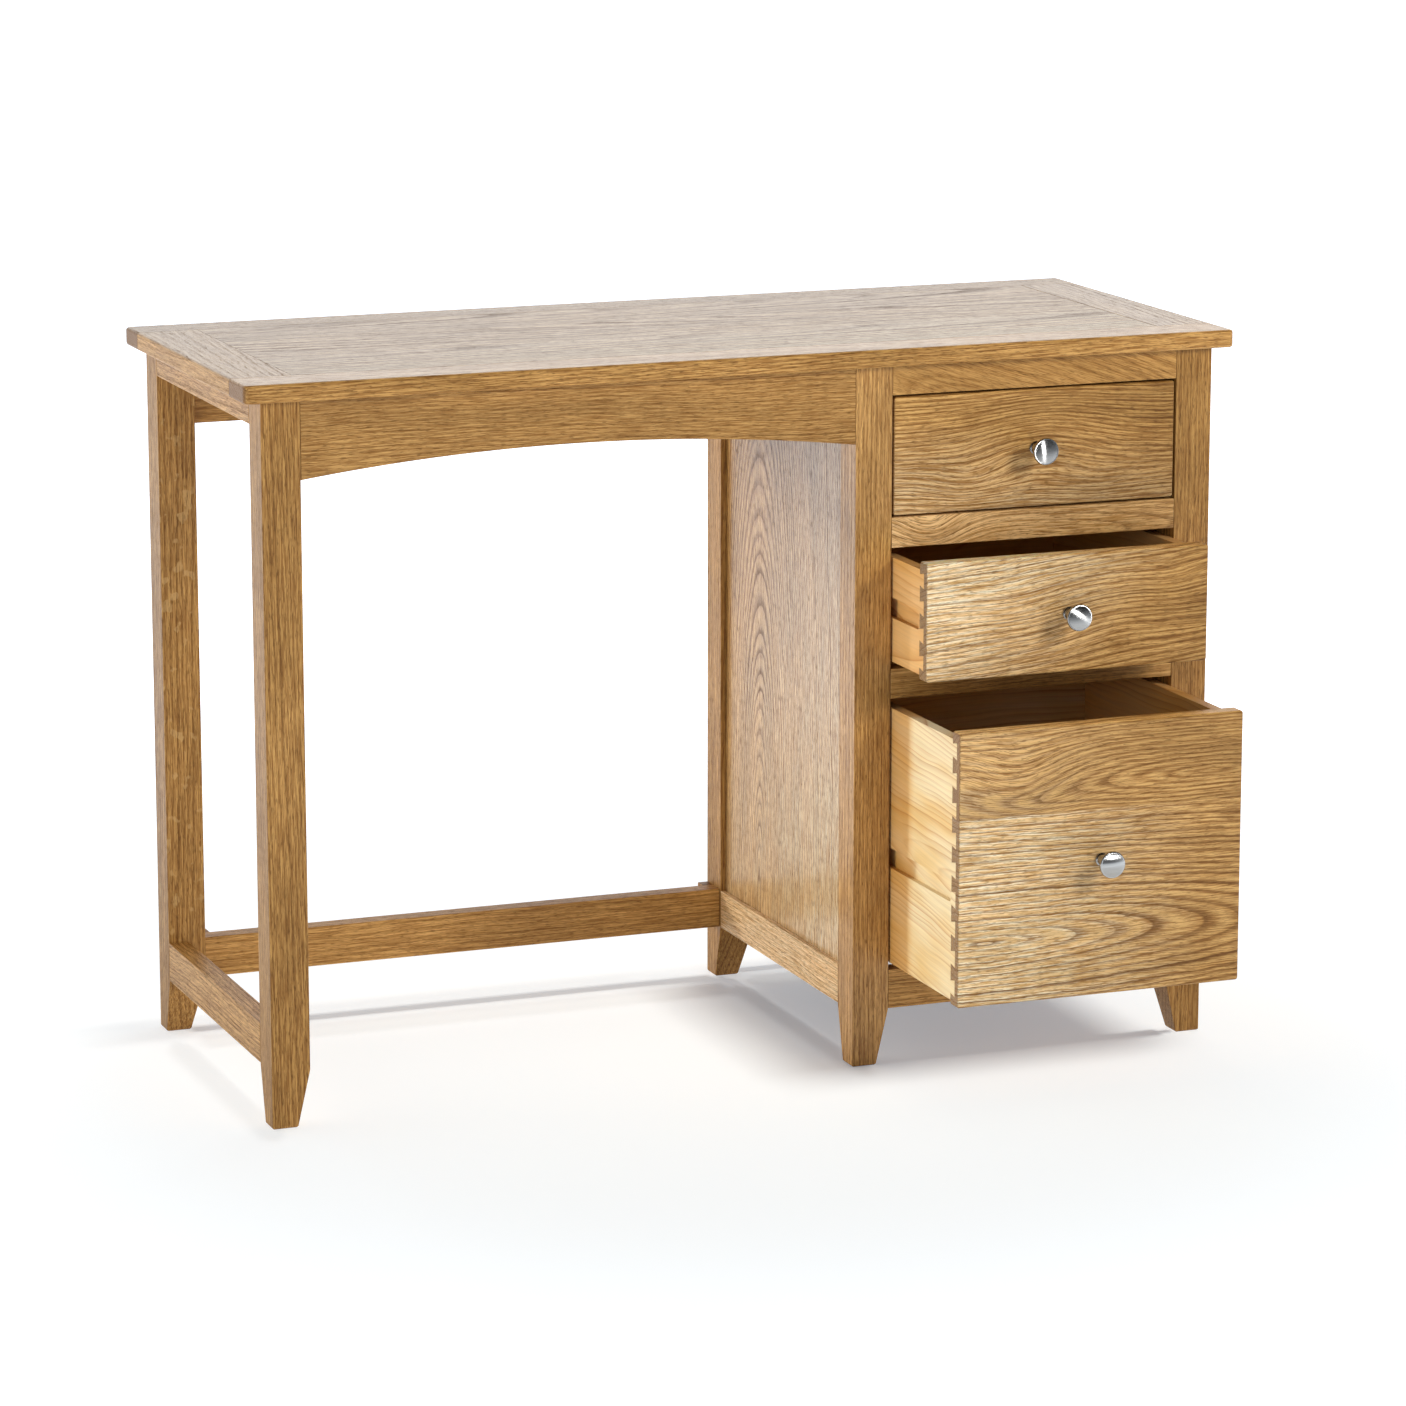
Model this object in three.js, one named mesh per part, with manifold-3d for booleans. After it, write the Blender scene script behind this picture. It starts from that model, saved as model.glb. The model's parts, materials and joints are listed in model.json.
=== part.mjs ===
// Writing desk with one pedestal of three drawers.
//
// Millimetres, +Z up, front towards -Y. The desk is laid out from the middle of its top, and the whole
// group is then moved so that the origin is below the middle of the desk as it stands, drawers open.
import * as THREE from "three";
import { ConvexGeometry } from "three/addons/geometries/ConvexGeometry.js";
import { mergeVertices } from "three/addons/utils/BufferGeometryUtils.js";
import Module from "manifold-3d";

const wasm = await Module();
wasm.setup();

// ---------------------------------------------------------------- driving dimensions

const FIT = 0.2; // gap left at each glued or resting face

const TOP = {
  width: 1090, depth: 448, height: 770, thick: 19,
  edgeRound: 3, cornerRound: 6,
  frontRail: 55, backRail: 50, end: 65, // widths of the framing boards
  tongue: 8, tongueThick: 6,
};
const OVERHANG = { side: 20, front: 13, back: 10 };

const LEG = { size: 41, footX: 27.5, footY: 26, taperFrom: 60, footChamfer: 1.5 };
const RAIL = { thick: 22, tenon: 14, tenonThick: 8, shoulder: 5 };
const LOW_RAIL = [61, 103]; // heights of the low rails' edges
const END_TOP_RAIL_DROP = 28;
const SIDE_TOP_RAIL_DROP = 60;
const BACK_TOP_RAIL_DROP = 84;

const APRON = { drop: 81, rise: 20 }; // depth at its ends, and how much the arch rises
const STRETCHER = { setBack: 2.5, thick: 22, z: [61, 105] };
const BLOCK = { length: 12, height: 40 };

const PANEL = { recess: 6.5, thick: 9, groove: 8 };
const BACK_PANEL = { recess: 8, thick: 6, groove: 8 };

const PEDESTAL_WIDTH = 409;
const DRAWER_RAIL = 32;
const TOP_DRAWER_RAIL_DROP = 31.5;
const SMALL_DRAWER_OPENING = 129;

const DRAWER = {
  reveal: 2.2, // gap round each front
  frontThick: 18, sideThick: 12, backThick: 12, bottomThick: 5,
  edgeRound: 1.8, cornerRound: 3, // of the fronts
  length: 380, sideDrop: 8, sideLift: 5.5, backDrop: 12,
  bottomUp: 10, bottomGroove: 4, backHousing: 3, backInset: 8,
};
const DOVETAIL = { lap: 7.8, endPin: 12, pitch: 32, share: 0.485, flare: 1.1 };
const SLOT = { height: 21.5, depth: 6, startsAt: 19.5, round: 4 }; // slot in a drawer's side
const SLOTS_UP = [63, 63, 120]; // from each front's lower edge to the middle of the slots, top to bottom
const RUNNER = { play: 0.5, endsAt: 190 };
const OPEN_NOW = [0, 88, 176]; // how far each drawer stands open, top to bottom

const KNOB = {
  proud: 30, headRadius: 14.2, rimHeight: 4.2, dome: 1.8,
  neckRadius: 4.8, baseRadius: 7.2, baseHeight: 2, boreRadius: 2.1, boreDepth: 11,
};
const KNOB_SCREW = { radius: 2, headRadius: 4.2, headHeight: 2.8, grip: 9 };

// ---------------------------------------------------------------- places worked out from them

const left = -TOP.width / 2 + OVERHANG.side;
const right = -left;
const front = -TOP.depth / 2 + OVERHANG.front;
const back = TOP.depth / 2 - OVERHANG.back;
const under = TOP.height - TOP.thick;
const pedestalLeft = right - PEDESTAL_WIDTH;

const betweenY = [front + LEG.size, back - LEG.size]; // clear spans between the legs
const kneeholeX = [left + LEG.size, pedestalLeft];
const drawersX = [pedestalLeft + LEG.size, right - LEG.size];

// Heights of the three drawer openings, top to bottom, and of the rails between them.
const openings = [];
const drawerRails = [[under - TOP_DRAWER_RAIL_DROP, under - FIT]];
for (const name of ["upper", "middle", "lower"]) {
  const top = drawerRails.at(-1)[0];
  const bottom = name === "lower" ? LOW_RAIL[1] : top - SMALL_DRAWER_OPENING;
  openings.push([bottom, top]);
  drawerRails.push(name === "lower" ? LOW_RAIL : [bottom - DRAWER_RAIL, bottom]);
}

// ---------------------------------------------------------------- materials

const finish = (color, roughness, metalness = 0) =>
  new THREE.MeshStandardMaterial({ color, roughness, metalness });
const oak = finish(0xc2935a, 0.45);
const pine = finish(0xe2b566, 0.55);
const board = finish(0xb98a55, 0.6);
const nickel = finish(0xb9b7b2, 0.3, 1);
const steel = finish(0x9a9a98, 0.4, 1);

// ---------------------------------------------------------------- solids

function toSolid(geometry) {
  const bare = new THREE.BufferGeometry();
  bare.setAttribute("position", geometry.getAttribute("position"));
  bare.setIndex(geometry.getIndex());
  const merged = mergeVertices(bare, 1e-4);
  const index = merged.getIndex().array;
  const triangles = [];
  for (let i = 0; i < index.length; i += 3) {
    const [a, b, c] = index.slice(i, i + 3);
    if (a !== b && b !== c && c !== a) triangles.push(a, b, c);
  }
  return new wasm.Manifold(new wasm.Mesh({
    numProp: 3,
    vertProperties: Float32Array.from(merged.getAttribute("position").array),
    triVerts: Uint32Array.from(triangles),
  }));
}

function toGeometry(solid) {
  const mesh = solid.getMesh();
  const geometry = new THREE.BufferGeometry();
  geometry.setAttribute("position", new THREE.BufferAttribute(new Float32Array(mesh.vertProperties), 3));
  geometry.setIndex(new THREE.BufferAttribute(new Uint32Array(mesh.triVerts), 1));
  return geometry;
}

const join = (first, ...others) => others.reduce((sum, other) => sum.add(other), first);
const cut = (first, ...others) => others.reduce((rest, other) => rest.subtract(other), first);
const mirrored = (solid) => solid.mirror([1, 0, 0]);

const middle = ([lo, hi]) => (lo + hi) / 2;
const around = (centre, size) => [centre - size / 2, centre + size / 2];
const widen = ([lo, hi], by) => [lo - by, hi + by];
const grow = (spans, by) => spans.map((span) => widen(span, by));
const mirrorSpan = ([lo, hi]) => [-hi, -lo];

function block([x, y, z]) {
  const box = new THREE.BoxGeometry(x[1] - x[0], y[1] - y[0], z[1] - z[0]);
  return toSolid(box.translate(middle(x), middle(y), middle(z)));
}

// An outline pushed along one axis. Along X it is drawn in Y and Z, along Y in X and Z, along Z in X and Y.
function prism(shape, axis, [lo, hi], curveSegments = 5) {
  const body = new THREE.ExtrudeGeometry(shape, { depth: hi - lo, bevelEnabled: false, curveSegments });
  const [x, y, z] = [[1, 0, 0], [0, 1, 0], [0, 0, 1]].map((v) => new THREE.Vector3(...v));
  const turn = new THREE.Matrix4();
  if (axis === "x") turn.makeBasis(y, z, x).setPosition(lo, 0, 0);
  if (axis === "y") turn.makeBasis(x, z, y.negate()).setPosition(0, hi, 0);
  if (axis === "z") turn.setPosition(0, 0, lo);
  return toSolid(body.applyMatrix4(turn));
}

// A flat slab on z = 0 with its corners and all its edges rounded.
function roundedSlab([x0, x1], [y0, y1], thick, corner, round) {
  const plan = new THREE.Shape();
  plan.moveTo(x1 - corner, y0);
  plan.absarc(x1 - corner, y0 + corner, corner, -Math.PI / 2, 0);
  plan.absarc(x1 - corner, y1 - corner, corner, 0, Math.PI / 2);
  plan.absarc(x0 + corner, y1 - corner, corner, Math.PI / 2, Math.PI);
  plan.absarc(x0 + corner, y0 + corner, corner, Math.PI, Math.PI * 1.5);
  plan.closePath();
  const bevel = { bevelThickness: round, bevelSize: round, bevelOffset: -round, bevelSegments: 3 };
  const slab = new THREE.ExtrudeGeometry(plan, { depth: thick - 2 * round, curveSegments: 3, ...bevel });
  return slab.translate(0, 0, round);
}

const outline = (points) => new THREE.Shape(points.map(([a, b]) => new THREE.Vector2(a, b)));

// A rectangle whose corners at its low end are rounded, for a slot and for the runner in it.
function roundNosed([a0, a1], [b0, b1], radius) {
  const shape = new THREE.Shape();
  shape.moveTo(a1, b0);
  shape.lineTo(a1, b1);
  shape.lineTo(a0 + radius, b1);
  shape.absarc(a0 + radius, b1 - radius, radius, Math.PI / 2, Math.PI);
  shape.lineTo(a0, b0 + radius);
  shape.absarc(a0 + radius, b0 + radius, radius, Math.PI, Math.PI * 1.5);
  shape.closePath();
  return shape;
}

// Turned shapes: a profile of [radius, height] points, turned about the axis of height.
const turned = (profile, segments) =>
  new THREE.LatheGeometry(profile.map(([r, h]) => new THREE.Vector2(r, h)), segments);

// ---------------------------------------------------------------- the scene graph

const desk = new THREE.Group();

// Adds a piece that was worked out in its group's frame, with its own origin at its middle.
function add(name, shape, material, group = desk) {
  const geometry = shape instanceof THREE.BufferGeometry ? shape : toGeometry(shape);
  geometry.computeBoundingBox();
  const centre = geometry.boundingBox.getCenter(new THREE.Vector3());
  geometry.translate(-centre.x, -centre.y, -centre.z);
  geometry.computeVertexNormals();
  const mesh = new THREE.Mesh(geometry, material);
  mesh.name = name;
  mesh.position.copy(centre);
  group.add(mesh);
  return mesh;
}

// ---------------------------------------------------------------- legs, rails and panels

const sockets = []; // what tenons and panel edges take out of the legs

// A square leg whose two inner faces taper to its foot. inX and inY point from its outer faces inwards.
function leg(outerX, inX, outerY, inY) {
  const ring = (sizeX, sizeY, z, inset = 0) =>
    [inset, sizeX - inset].flatMap((dx) =>
      [inset, sizeY - inset].map((dy) => new THREE.Vector3(outerX + inX * dx, outerY + inY * dy, z)));
  return toSolid(new ConvexGeometry([
    ...ring(LEG.footX, LEG.footY, 0, LEG.footChamfer),
    ...ring(LEG.footX, LEG.footY, LEG.footChamfer),
    ...ring(LEG.size, LEG.size, LEG.taperFrom),
    ...ring(LEG.size, LEG.size, under - FIT),
  ]));
}

// A rail between two legs, with a stub tenon at each end. along is 0 for a rail along X, 1 along Y.
function rail(along, spans, shape = null) {
  const [lo, hi] = spans[along];
  const body = spans.map((span, axis) => (axis === along ? widen(span, -FIT) : span));
  const tenons = [[lo - RAIL.tenon, lo + 1], [hi - 1, hi + RAIL.tenon]].map((reach) =>
    spans.map((span, axis) => {
      if (axis === along) return reach;
      return axis === 2 ? widen(span, -RAIL.shoulder) : around(middle(span), RAIL.tenonThick);
    }));
  sockets.push(...tenons.map((tenon) => block(grow(tenon, FIT))));
  return join(shape ?? block(body), ...tenons.map(block));
}

function panel(spans) {
  sockets.push(block(grow(spans, FIT)));
  return block(spans);
}

const thickFrom = (outer, inwards) => [outer, outer + inwards * RAIL.thick].sort((a, b) => a - b);
const frontRailY = thickFrom(front, 1);
const backRailY = thickFrom(back, -1);

// The end frame at the left.
const endRailX = thickFrom(left, 1);
const endTopRail = rail(1, [endRailX, betweenY, [under - END_TOP_RAIL_DROP, under - FIT]]);
const endBottomRail = rail(1, [endRailX, betweenY, LOW_RAIL]);

// The apron over the kneehole, arched below.
function apron() {
  const [x0, x1] = widen(kneeholeX, -FIT);
  const ends = under - APRON.drop;
  const chord = x1 - x0;
  const radius = (chord * chord) / (8 * APRON.rise) + APRON.rise / 2;
  const half = Math.asin(chord / 2 / radius);
  const shape = new THREE.Shape();
  shape.moveTo(x1, ends);
  shape.lineTo(x1, under - FIT);
  shape.lineTo(x0, under - FIT);
  shape.lineTo(x0, ends);
  const centreZ = ends + APRON.rise - radius;
  shape.absarc((x0 + x1) / 2, centreZ, radius, Math.PI / 2 + half, Math.PI / 2 - half, true);
  shape.closePath();
  return rail(0, [kneeholeX, frontRailY, [ends, under - FIT]], prism(shape, "y", frontRailY, 28));
}
const frontApron = apron();
const backTopRail = rail(0, [kneeholeX, backRailY, [under - BACK_TOP_RAIL_DROP, under - FIT]]);

// The low stretcher at the back is screwed to the legs, so it has no tenons, and a block behind each end
// takes the screws.
const stretcherY = [betweenY[1] + STRETCHER.setBack, betweenY[1] + STRETCHER.setBack + STRETCHER.thick];
const stretcher = block([widen(kneeholeX, -FIT), stretcherY, STRETCHER.z]);
const blockY = [stretcherY[1] + FIT, back - 1];
const blockZ = [STRETCHER.z[1] - BLOCK.height, STRETCHER.z[1]];
const blockAt = (x, inwards) =>
  block([[x + inwards * FIT, x + inwards * BLOCK.length].sort((a, b) => a - b), blockY, blockZ]);

// The pedestal's two side frames: a panel between two rails.
function sideFrame(outer, inwards) {
  const x = thickFrom(outer, inwards);
  const topZ = [under - SIDE_TOP_RAIL_DROP, under - FIT];
  const face = outer + inwards * PANEL.recess;
  const panelX = [face, face + inwards * PANEL.thick].sort((a, b) => a - b);
  return {
    topRail: rail(1, [x, betweenY, topZ]),
    bottomRail: rail(1, [x, betweenY, LOW_RAIL]),
    panel: panel([panelX, widen(betweenY, PANEL.groove), widen([LOW_RAIL[1], topZ[0]], PANEL.groove)]),
  };
}
const leftFrame = sideFrame(pedestalLeft, 1);
const rightFrame = sideFrame(right, -1);

// The pedestal's back.
const backTopZ = [under - SIDE_TOP_RAIL_DROP, under - FIT];
const pedestalBack = {
  topRail: rail(0, [drawersX, backRailY, backTopZ]),
  bottomRail: rail(0, [drawersX, backRailY, LOW_RAIL]),
  panel: panel([
    widen(drawersX, BACK_PANEL.groove),
    [back - BACK_PANEL.recess - BACK_PANEL.thick, back - BACK_PANEL.recess],
    widen([LOW_RAIL[1], backTopZ[0]], BACK_PANEL.groove),
  ]),
};

// The rails between the drawers.
const frontRails = drawerRails.map((z) => rail(0, [drawersX, frontRailY, z]));

// The runners on the posts, one in the slot of each drawer side.
const runners = [];
for (const [index, opening] of openings.entries()) {
  for (const [name, post, inwards] of [["left", drawersX[0], 1], ["right", drawersX[1], -1]]) {
    const reach = DRAWER.reveal + SLOT.depth - RUNNER.play;
    const x = [post + inwards * FIT, post + inwards * reach].sort((a, b) => a - b);
    const y = [front + SLOT.startsAt + RUNNER.play, RUNNER.endsAt];
    const z = around(opening[0] + DRAWER.reveal + SLOTS_UP[index], SLOT.height - 2 * RUNNER.play);
    runners.push([`runner_${index + 1}_${name}`, prism(roundNosed(y, z, SLOT.round), "x", x)]);
  }
}

// ---------------------------------------------------------------- the carcass, with its sockets cut

const postAt = (outerX, inX, outerY, inY) => cut(leg(outerX, inX, outerY, inY), ...sockets);
const panelGrooves = [leftFrame.panel, rightFrame.panel, pedestalBack.panel]
  .map((solid) => solid.boundingBox())
  .map(({ min, max }) => block(grow([0, 1, 2].map((axis) => [min[axis], max[axis]]), FIT)));
const grooved = (solid) => cut(solid, ...panelGrooves);

add("end_front_leg", postAt(left, 1, front, 1), oak);
add("end_back_leg", postAt(left, 1, back, -1), oak);
add("end_top_rail", endTopRail, oak);
add("end_bottom_rail", endBottomRail, oak);
add("front_apron", frontApron, oak);
add("back_top_rail", backTopRail, oak);
add("back_stretcher", stretcher, oak);
add("stretcher_block_left", blockAt(kneeholeX[0], 1), oak);
add("stretcher_block_right", blockAt(kneeholeX[1], -1), oak);

add("post_front_left", postAt(pedestalLeft, 1, front, 1), oak);
add("post_front_right", postAt(right, -1, front, 1), oak);
add("post_back_left", postAt(pedestalLeft, 1, back, -1), oak);
add("post_back_right", postAt(right, -1, back, -1), oak);

for (const [side, frame] of [["left", leftFrame], ["right", rightFrame]]) {
  add(`${side}_top_rail`, grooved(frame.topRail), oak);
  add(`${side}_bottom_rail`, grooved(frame.bottomRail), oak);
  add(`${side}_panel`, frame.panel, oak);
}
add("back_upper_rail", grooved(pedestalBack.topRail), oak);
add("back_lower_rail", grooved(pedestalBack.bottomRail), oak);
add("back_panel", pedestalBack.panel, board);

for (const [index, name] of ["top", "upper", "lower", "bottom"].entries()) {
  add(`drawer_rail_${name}`, frontRails[index], oak);
}
for (const [name, solid] of runners) add(name, solid, pine);

// ---------------------------------------------------------------- the top

function topBoards() {
  const [w, d] = [TOP.width / 2, TOP.depth / 2];
  const slab = roundedSlab([-w, w], [-d, d], TOP.thick, TOP.cornerRound, TOP.edgeRound);
  const rounded = toSolid(slab.translate(0, 0, under));

  const thick = [under - 1, TOP.height + 1];
  const innerY = [-d + TOP.frontRail, d - TOP.backRail];
  const innerX = [-w + TOP.end, w - TOP.end];
  const tongueZ = around(under + TOP.thick / 2, TOP.tongueThick);
  const tongueFor = (x) => [x, widen(innerY, TOP.tongue), tongueZ];
  const endTongueX = [-w + 10, innerX[0] - TOP.tongue - 2];
  const tongues = {
    centre: tongueFor(widen(innerX, TOP.tongue)),
    left: tongueFor(endTongueX),
    right: tongueFor(mirrorSpan(endTongueX)),
  };
  const grooves = Object.values(tongues).map((spans) => block(grow(spans, FIT)));
  const piece = (x, y) => rounded.intersect(block([x, y, thick]));
  const shrunkY = widen(innerY, -FIT);
  return {
    top_front_rail: cut(piece([-w, w], [-d, innerY[0]]), ...grooves),
    top_back_rail: cut(piece([-w, w], [innerY[1], d]), ...grooves),
    top_left_end: join(cut(piece([-w, innerX[0]], shrunkY), grooves[0]), block(tongues.left)),
    top_right_end: join(cut(piece([innerX[1], w], shrunkY), grooves[0]), block(tongues.right)),
    top_centre_panel: join(piece(widen(innerX, -FIT), shrunkY), block(tongues.centre)),
  };
}
for (const [name, solid] of Object.entries(topBoards())) add(name, solid, oak);

// ---------------------------------------------------------------- drawers

// In a drawer's own frame x is 0 at its middle, y is 0 at its front's face and z is 0 at its lower edge.
function buildDrawer(number, opening, slotUp, openBy) {
  const drawer = new THREE.Group();
  const height = opening[1] - opening[0] - 2 * DRAWER.reveal;
  const half = (drawersX[1] - drawersX[0]) / 2 - DRAWER.reveal;
  const inner = half - DRAWER.sideThick;
  const gaps = Math.round((height - 2 * DOVETAIL.endPin) / DOVETAIL.pitch);
  const pitch = (height - 2 * DOVETAIL.endPin) / (gaps + DOVETAIL.share);

  // The dovetails of the right side, with room round them when they are cut out of the front.
  const tails = (room) => {
    const x = [inner - room, half + (room > 0 ? 1 : 0)];
    const solids = Array.from({ length: gaps + 1 }, (_, i) => {
      const z = DOVETAIL.endPin + (i + DOVETAIL.share / 2) * pitch;
      const wide = (pitch * DOVETAIL.share) / 2 + DOVETAIL.flare + room;
      const narrow = wide - 2 * DOVETAIL.flare;
      const [y0, y1] = [DOVETAIL.lap - room, DRAWER.frontThick + FIT];
      const slope = (wide - narrow) / (y1 - y0);
      const end = narrow - slope; // carried 1 mm on, into the side or out of the front
      return prism(outline([[y0, z - wide], [y1 + 1, z - end], [y1 + 1, z + end], [y0, z + wide]]), "x", x);
    });
    return join(...solids);
  };

  const bottom = [
    widen([-inner, inner], DRAWER.bottomGroove),
    [DRAWER.frontThick - DRAWER.bottomGroove, DRAWER.length - DRAWER.backInset],
    [DRAWER.bottomUp, DRAWER.bottomUp + DRAWER.bottomThick],
  ];
  const backY = [DRAWER.length - DRAWER.backInset - DRAWER.backThick, DRAWER.length - DRAWER.backInset];
  const backBoard = [
    widen([-inner, inner], DRAWER.backHousing), backY, [bottom[2][1] + FIT, height - DRAWER.backDrop],
  ];
  const housings = [bottom, backBoard].map((spans) => block(grow(spans, FIT)));

  const sideY = [DRAWER.frontThick + FIT, DRAWER.length];
  const sideZ = [DRAWER.sideLift, height - DRAWER.sideDrop];
  const slot = roundNosed([SLOT.startsAt, DRAWER.length + 1], around(slotUp, SLOT.height), SLOT.round);
  const rightSide = cut(
    join(block([[inner, half], sideY, sideZ]), tails(0)),
    prism(slot, "x", [half - SLOT.depth, half + 1]),
    ...housings,
  );

  const screwHole = new THREE.CylinderGeometry(KNOB_SCREW.radius + 0.3, KNOB_SCREW.radius + 0.3, 60, 16);
  const deep = DRAWER.frontThick + 2 * DRAWER.edgeRound; // so that the front isn't rounded at its back
  const slab = roundedSlab([-half, half], [0, height], deep, DRAWER.cornerRound, DRAWER.edgeRound);
  const frontBoard = cut(
    toSolid(slab.rotateX(Math.PI / 2).translate(0, deep, 0)),
    block([[-half - 1, half + 1], [DRAWER.frontThick, deep + 1], [-1, height + 1]]),
    tails(FIT),
    mirrored(tails(FIT)),
    housings[0],
    toSolid(screwHole.translate(0, 0, height / 2)),
  );

  const name = (piece) => `drawer_${number}_${piece}`;
  add(name("front"), frontBoard, oak, drawer);
  add(name("left_side"), mirrored(rightSide), pine, drawer);
  add(name("right_side"), rightSide, pine, drawer);
  add(name("back"), block(backBoard), pine, drawer);
  add(name("bottom"), block(bottom), board, drawer);
  add(name("knob"), knob().translate(0, -FIT, height / 2), nickel, drawer);
  add(name("knob_screw"), knobScrew().translate(0, DRAWER.frontThick + FIT, height / 2), steel, drawer);

  drawer.position.set(middle(drawersX), front - openBy, opening[0] + DRAWER.reveal);
  desk.add(drawer);
}

// A round knob standing on the plane y = 0 and pointing towards -Y, with a blind hole for its screw.
function knob() {
  const { proud, headRadius, rimHeight, dome, neckRadius, baseRadius, baseHeight } = KNOB;
  const shoulder = proud - dome - rimHeight; // where the underside meets the rim
  const curve = new THREE.SplineCurve([
    new THREE.Vector2(baseRadius - 0.6, baseHeight),
    new THREE.Vector2(neckRadius + 0.5, baseHeight + 1.4),
    new THREE.Vector2(neckRadius, baseHeight + 5),
    new THREE.Vector2(neckRadius + 1.2, shoulder - 4.2),
    new THREE.Vector2(headRadius - 4.5, shoulder - 1.4),
    new THREE.Vector2(headRadius - 0.8, shoulder),
  ]);
  const neck = curve.getPoints(9).map((p) => [p.x, p.y]);
  const rim = [[headRadius, shoulder + 1], [headRadius, shoulder + rimHeight - 1.2]];
  for (const turn of [0.33, 0.67]) {
    const angle = (turn * Math.PI) / 2;
    rim.push([headRadius - 1.2 + 1.2 * Math.cos(angle), shoulder + rimHeight - 1.2 + 1.2 * Math.sin(angle)]);
  }
  const face = headRadius - 1.2;
  const domed = Array.from({ length: 5 }, (_, i) => {
    const r = face * (1 - i / 4);
    return [r, shoulder + rimHeight + dome * (1 - (r / face) ** 2)];
  });
  const profile = [
    [0, KNOB.boreDepth], [KNOB.boreRadius, KNOB.boreDepth], [KNOB.boreRadius, 0],
    [baseRadius - 0.4, 0], [baseRadius, 0.4], [baseRadius, baseHeight - 0.5],
    ...neck, ...rim, ...domed,
  ];
  return turned(profile, 32).rotateX(Math.PI);
}

// The screw through a drawer's front from inside, with a domed head on the plane y = 0.
function knobScrew() {
  const { radius, headRadius, headHeight, grip } = KNOB_SCREW;
  const head = Array.from({ length: 4 }, (_, i) => {
    const angle = (i / 3) * (Math.PI / 2);
    return [headRadius * Math.cos(angle), -0.8 - (headHeight - 0.8) * Math.sin(angle)];
  });
  const reach = DRAWER.frontThick + grip;
  const profile = [
    ...head.reverse(), [headRadius, 0],
    [radius, 0], [radius, reach - 1], [radius - 0.8, reach], [0, reach],
  ];
  profile[0][0] = 0;
  return turned(profile, 16).rotateX(Math.PI);
}

for (const [index, opening] of openings.entries()) {
  buildDrawer(index + 1, opening, SLOTS_UP[index], OPEN_NOW[index]);
}

// The origin goes on the floor below the middle of the desk's box as it stands.
const foremost = front - Math.max(...OPEN_NOW) - FIT - KNOB.proud;
desk.position.y = -(foremost + TOP.depth / 2) / 2;

export default desk;
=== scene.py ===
import json
import math
import random

import bpy
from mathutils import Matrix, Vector


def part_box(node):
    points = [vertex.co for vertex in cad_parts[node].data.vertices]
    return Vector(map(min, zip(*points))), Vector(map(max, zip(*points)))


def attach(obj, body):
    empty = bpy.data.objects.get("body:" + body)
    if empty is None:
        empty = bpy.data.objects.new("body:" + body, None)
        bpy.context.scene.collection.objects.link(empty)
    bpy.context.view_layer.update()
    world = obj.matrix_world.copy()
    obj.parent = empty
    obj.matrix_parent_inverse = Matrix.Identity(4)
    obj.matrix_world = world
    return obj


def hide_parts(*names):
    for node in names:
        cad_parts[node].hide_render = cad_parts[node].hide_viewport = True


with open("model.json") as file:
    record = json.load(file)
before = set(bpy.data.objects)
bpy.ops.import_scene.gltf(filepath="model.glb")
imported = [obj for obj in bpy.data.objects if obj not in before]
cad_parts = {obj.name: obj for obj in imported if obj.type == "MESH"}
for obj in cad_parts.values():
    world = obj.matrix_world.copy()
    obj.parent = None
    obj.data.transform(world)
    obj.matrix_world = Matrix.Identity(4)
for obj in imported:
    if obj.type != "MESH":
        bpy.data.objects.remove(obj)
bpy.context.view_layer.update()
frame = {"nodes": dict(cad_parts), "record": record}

MM = 0.001

# ---------------------------------------------------------------- camera and light

# The camera looks at a point just below the middle of the desk, through a long lens.
CAMERA_AZIMUTH = -21.2
CAMERA_ELEVATION = 12.16
CAMERA_DISTANCE = 5.754
CAMERA_LENS = 136.85
AIM_FROM_TOP = Vector((0.0228, -0.0128, -0.4062))  # from the middle of the writing surface

FLOOR_SIZE = 30.0
FLOOR_NEAR, FLOOR_FAR = 0.5, 2.2  # metres from the desk's middle, between which the floor's own glow grows
FLOOR_GLOW_NEAR, FLOOR_GLOW_FAR = 0.06, 0.85
FLOOR_LIFT = 0.12  # more of that glow, for the camera alone
FLOOR_COLOR = (0.83, 0.86, 0.89)  # a little cool, against the warm light that the wood throws on it
FLOOR_GLOW_COLOR = (0.92, 1.03, 1.2, 1.0)
WALL_COLOR = (1.0, 0.965, 0.915, 1.0)
DARK_BEYOND = -1.7  # the paper on the studio floor ends here, as the metal sees it
DARK_EDGE = 0.3  # half the width over which it fades out
FRONT_GLOW, FRONT_GLOW_REFLECTED = 0.14, 0.02  # behind the camera, against 1 for the wall behind the desk
CEILING_LOW, CEILING_HIGH = 1.4, 0.1  # how bright the studio is at eye level and overhead

WHITE = (1.0, 1.0, 1.0)
WARM = (1.0, 0.855, 0.474)
PALE_YELLOW = (1.0, 0.98, 0.915)

# Azimuth, elevation, distance, width and height in metres, watts, colour, seen in reflections.
LIGHTS = {
    "key": (35, 27, 2.9, (0.7, 0.7), 36, WHITE, False),
    "fill": (-40, 14, 3.2, (1.6, 1.2), 18, WHITE, False),
    "rim": (-136, 18, 3.6, (0.3, 0.7), 60, WHITE, False),
    "bounce": (-72, 6, 2.2, (0.4, 0.6), 17, WARM, False),
    "overhead": (105, 84, 10.0, (1.2, 1.2), 615, PALE_YELLOW, False),
    "behind": (172, 54, 6.0, (0.75, 0.75), 55, WHITE, False),
    "strip": (20, 3, 3.0, (0.4, 0.4), 16, WHITE, True),
}


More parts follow.
